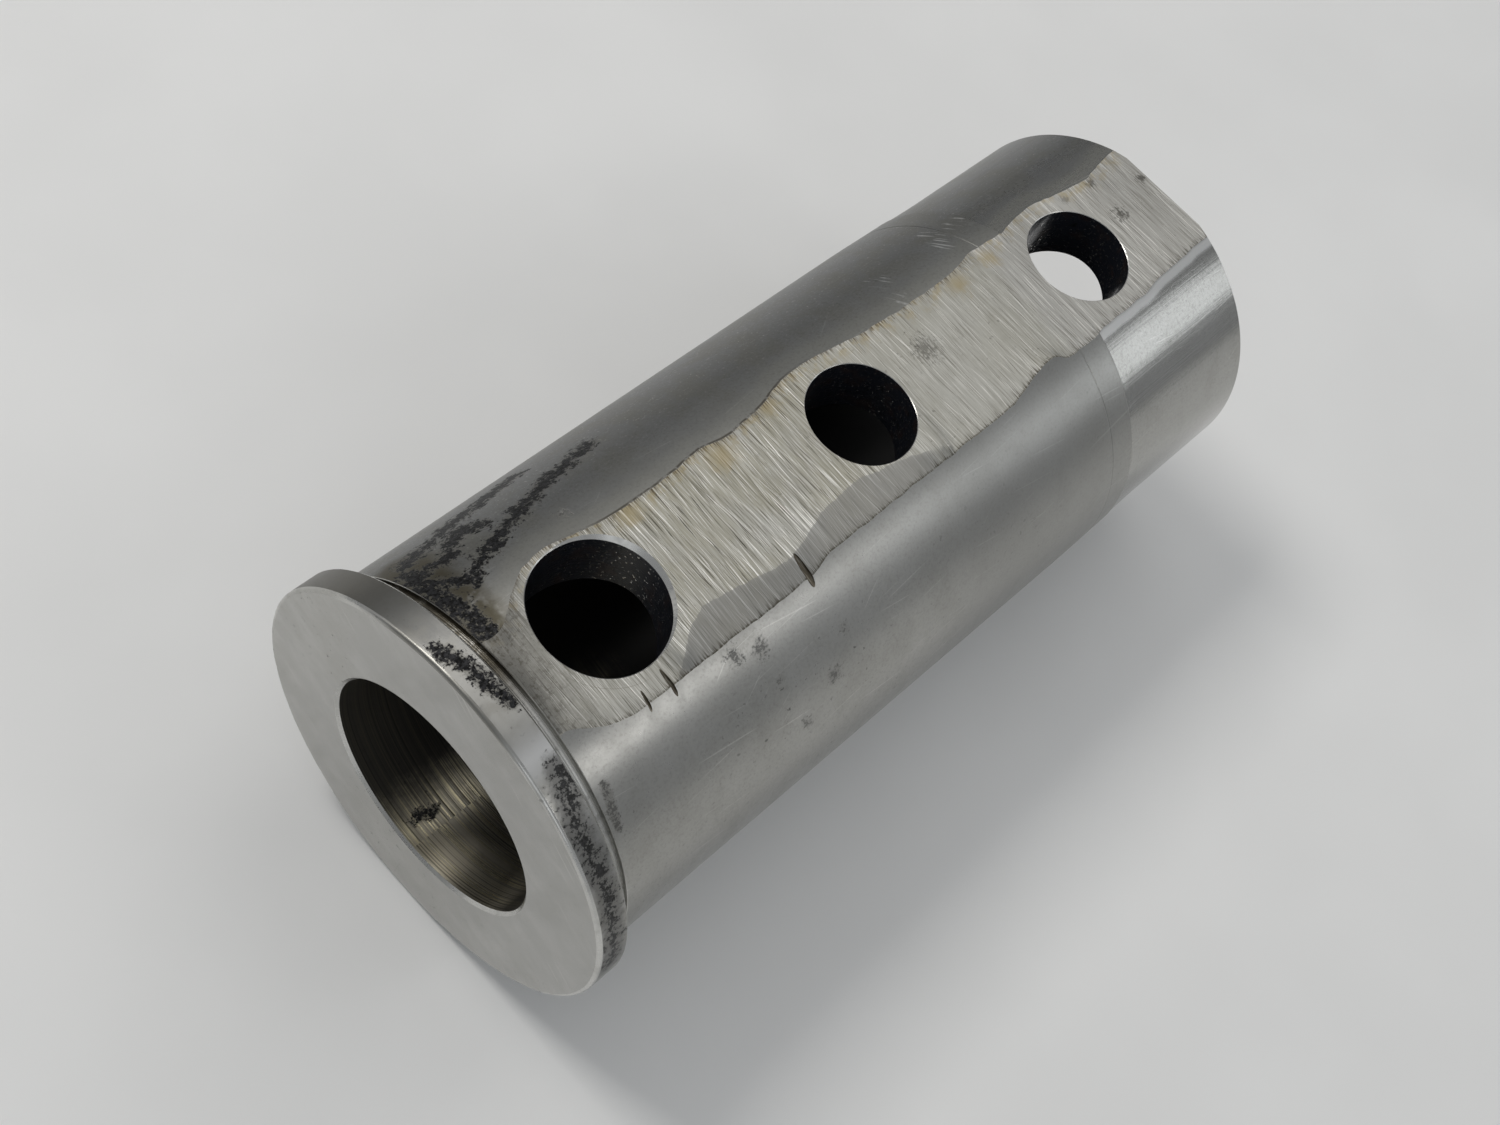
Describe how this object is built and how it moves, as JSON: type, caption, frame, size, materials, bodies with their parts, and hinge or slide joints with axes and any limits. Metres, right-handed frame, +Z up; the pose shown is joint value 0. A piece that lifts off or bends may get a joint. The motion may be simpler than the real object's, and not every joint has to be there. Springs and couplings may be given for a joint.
{
  "type": "flanged tool holder sleeve",
  "caption": "Flanged steel sleeve that holds a round boring bar in a lathe turret, with a flat and cross holes for clamp screws.",
  "frame": {"origin": "on the bore's axis, in the plane of the flange's seating face", "axes": "+X along the bore from the flange to the tail, +Z up through the ground flat and the screw holes, +Y to the left when looking from the flange to the tail with the flat up"},
  "size_m": [0.1251, 0.0556, 0.0556],
  "materials": {
    "flanged_sleeve": "turned and ground steel, worn, with dark oil and rust staining"
  },
  "bodies": {
    "root": {"flanged_sleeve": "flanged_sleeve"}
  },
  "joints": []
}
